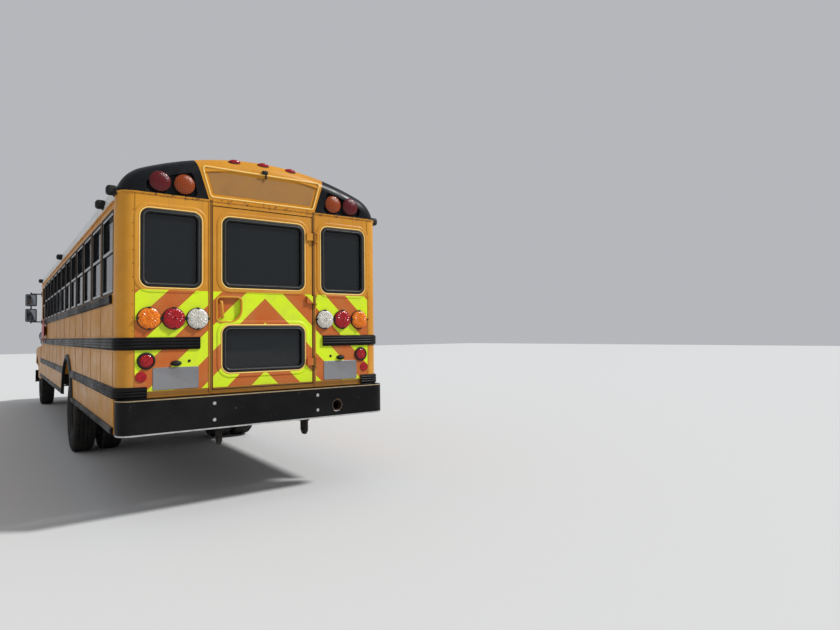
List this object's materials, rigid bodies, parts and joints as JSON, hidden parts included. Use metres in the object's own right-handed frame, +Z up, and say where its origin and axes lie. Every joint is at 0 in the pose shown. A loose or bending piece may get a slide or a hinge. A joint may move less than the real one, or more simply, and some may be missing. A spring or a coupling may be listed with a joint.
{
  "type": "school bus",
  "caption": "Long-bonnet school bus: hollow ribbed body with seats, tilting hood, opening rear and entry doors, roof hatches, swinging stop arm, steered front wheels and twin rear wheels.",
  "frame": {"origin": "on the ground under the middle of the bus, midway between the bumpers' outer faces", "axes": "+Y to the bus's front, +X to its right side with the entry door, +Z up"},
  "size_m": [3.02, 11.83, 3.1753],
  "materials": {
    "body_yellow": "school-bus yellow enamel, sun-faded",
    "roof_white": "white enamel",
    "rail_black": "gloss black",
    "bumper_black": "satin black, worn",
    "trim_black": "matt black",
    "glass": "dark tint",
    "window_aluminium": "mill finish",
    "chassis_black": "dusty chassis black",
    "engine_grey": "dull",
    "radiator_aluminium": "dull",
    "exhaust_steel": "rusted",
    "seat_vinyl": "dark green vinyl",
    "lamp_red": "clear gloss",
    "lamp_amber": "clear gloss",
    "lamp_clear": "clear gloss",
    "sign_red": "reflective red",
    "tyre": "dusty",
    "rim_steel": "satin black"
  },
  "bodies": {
    "bus_body": {"chassis_frame": "chassis_black", "body_floor": "chassis_black", "left_side": "body_yellow", "right_side": "body_yellow", "roof": "roof_white", "rear_wall": "body_yellow", "rear_cap": "body_yellow", "front_wall": "body_yellow", "front_cap": "body_yellow", "end_glass": "glass", "window_frames": "window_aluminium", "side_glass": "glass", "rub_rails": "rail_black", "rear_bumper": "bumper_black", "front_bumper": "bumper_black", "red_lamps": "lamp_red", "amber_lamps": "lamp_amber", "clear_lamps": "lamp_clear", "mirrors": "trim_black", "seat_cushions": "seat_vinyl", "seat_backs": "seat_vinyl", "seat_legs": "chassis_black", "dashboard": "trim_black", "steering_wheel": "trim_black", "stepwell": "chassis_black", "engine": "engine_grey", "radiator": "radiator_aluminium", "driveshaft": "chassis_black", "front_axle": "chassis_black", "rear_axle": "chassis_black", "leaf_springs": "chassis_black", "fuel_tank": "chassis_black", "battery_box": "chassis_black", "exhaust": "exhaust_steel", "stop_arm_base": "trim_black"},
    "hood": {"hood": "body_yellow", "grille": "trim_black", "headlamps": "lamp_clear", "hood_mirrors": "trim_black"},
    "entry_leaf_front": {"entry_leaf_front": "body_yellow", "entry_glass_front": "glass"},
    "entry_leaf_rear": {"entry_leaf_rear": "body_yellow", "entry_glass_rear": "glass"},
    "rear_door": {"rear_door": "body_yellow", "rear_door_glass": "glass", "rear_door_handle": "trim_black"},
    "stop_arm": {"stop_arm": "sign_red"},
    "rear_hatch": {"rear_hatch_lid": "roof_white"},
    "front_hatch": {"front_hatch_lid": "roof_white"},
    "left_knuckle": {"left_knuckle": "chassis_black"},
    "right_knuckle": {"right_knuckle": "chassis_black"},
    "tie_rod": {"tie_rod": "chassis_black"},
    "left_front_wheel": {"left_front_tyre": "tyre", "left_front_rim": "rim_steel"},
    "right_front_wheel": {"right_front_tyre": "tyre", "right_front_rim": "rim_steel"},
    "left_rear_wheels": {"left_rear_tyres": "tyre", "left_rear_rims": "rim_steel"},
    "right_rear_wheels": {"right_rear_tyres": "tyre", "right_rear_rims": "rim_steel"}
  },
  "joints": [
    {"name": "hood_tilt", "type": "hinge", "parent": "bus_body", "child": "hood", "pos_m": [0, 5.79, 0.775], "axis": [-1, 0, 0], "range_deg": [0, 60]},
    {"name": "entry_front_swing", "type": "hinge", "parent": "bus_body", "child": "entry_leaf_front", "pos_m": [1.233, 3.356, 1.5], "axis": [0, 0, 1], "range_deg": [0, 90]},
    {"name": "entry_rear_swing", "type": "hinge", "parent": "bus_body", "child": "entry_leaf_rear", "pos_m": [1.233, 2.622, 1.5], "axis": [0, 0, 1], "range_deg": [-90, 0]},
    {"name": "rear_door_swing", "type": "hinge", "parent": "bus_body", "child": "rear_door", "pos_m": [0.4875, -5.846, 1.85], "axis": [0, 0, 1], "range_deg": [0, 110]},
    {"name": "stop_arm_swing", "type": "hinge", "parent": "bus_body", "child": "stop_arm", "pos_m": [-1.259, 2.526, 1.65], "axis": [0, 0, -1], "range_deg": [0, 90]},
    {"name": "rear_hatch_tilt", "type": "hinge", "parent": "bus_body", "child": "rear_hatch", "pos_m": [0, -3.373, 3.145], "axis": [-1, 0, 0], "range_deg": [0, 80]},
    {"name": "front_hatch_tilt", "type": "hinge", "parent": "bus_body", "child": "front_hatch", "pos_m": [0, 1.027, 3.145], "axis": [-1, 0, 0], "range_deg": [0, 80]},
    {"name": "left_steer", "type": "hinge", "parent": "bus_body", "child": "left_knuckle", "pos_m": [-0.88, 5.065, 0.5], "axis": [0, 0, 1], "range_deg": [-40, 40]},
    {"name": "right_steer", "type": "hinge", "parent": "bus_body", "child": "right_knuckle", "pos_m": [0.88, 5.065, 0.5], "axis": [0, 0, 1], "range_deg": [-40, 40]},
    {"name": "tie_rod_swivel", "type": "hinge", "parent": "left_knuckle", "child": "tie_rod", "pos_m": [-0.88, 4.865, 0.4], "axis": [0, 0, 1], "range_deg": [-40, 40]},
    {"name": "left_front_spin", "type": "hinge", "parent": "left_knuckle", "child": "left_front_wheel", "pos_m": [-1.03, 5.065, 0.51], "axis": [1, 0, 0], "continuous": true},
    {"name": "right_front_spin", "type": "hinge", "parent": "right_knuckle", "child": "right_front_wheel", "pos_m": [1.03, 5.065, 0.51], "axis": [1, 0, 0], "continuous": true},
    {"name": "left_rear_spin", "type": "hinge", "parent": "bus_body", "child": "left_rear_wheels", "pos_m": [-0.895, -1.945, 0.51], "axis": [1, 0, 0], "continuous": true},
    {"name": "right_rear_spin", "type": "hinge", "parent": "bus_body", "child": "right_rear_wheels", "pos_m": [0.895, -1.945, 0.51], "axis": [1, 0, 0], "continuous": true}
  ],
  "couplings": [
    {"joint": "entry_rear_swing", "follows": "entry_front_swing", "ratio": -1},
    {"joint": "right_steer", "follows": "left_steer", "ratio": 1},
    {"joint": "tie_rod_swivel", "follows": "left_steer", "ratio": -1}
  ]
}
